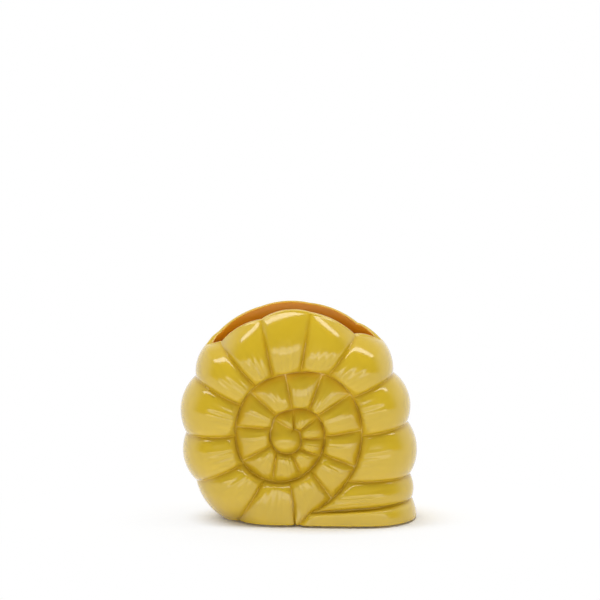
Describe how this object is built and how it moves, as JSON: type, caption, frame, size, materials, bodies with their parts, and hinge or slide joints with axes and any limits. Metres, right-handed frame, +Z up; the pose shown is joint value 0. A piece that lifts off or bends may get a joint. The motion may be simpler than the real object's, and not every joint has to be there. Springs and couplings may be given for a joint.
{
  "type": "toothbrush holder",
  "caption": "Free-standing ceramic toothbrush cup in the form of a ribbed spiral shell, open at the top, on thin round pads.",
  "frame": {"origin": "on the surface that the holder stands on, under the middle of its bounding box", "axes": "+X to the holder's right as the spiral is seen from the front, +Y to its back, +Z up"},
  "size_m": [0.0995, 0.0432, 0.0908],
  "materials": {
    "ochre_glaze": "glossy ochre-yellow glaze on fired ceramic, darker where it pools in the grooves",
    "foot_pad": "matt translucent self-adhesive pad"
  },
  "bodies": {
    "root": {"shell_body": "ochre_glaze", "foot_pad_front_left": "foot_pad", "foot_pad_front_right": "foot_pad", "foot_pad_rear_left": "foot_pad", "foot_pad_rear_right": "foot_pad"}
  },
  "joints": []
}
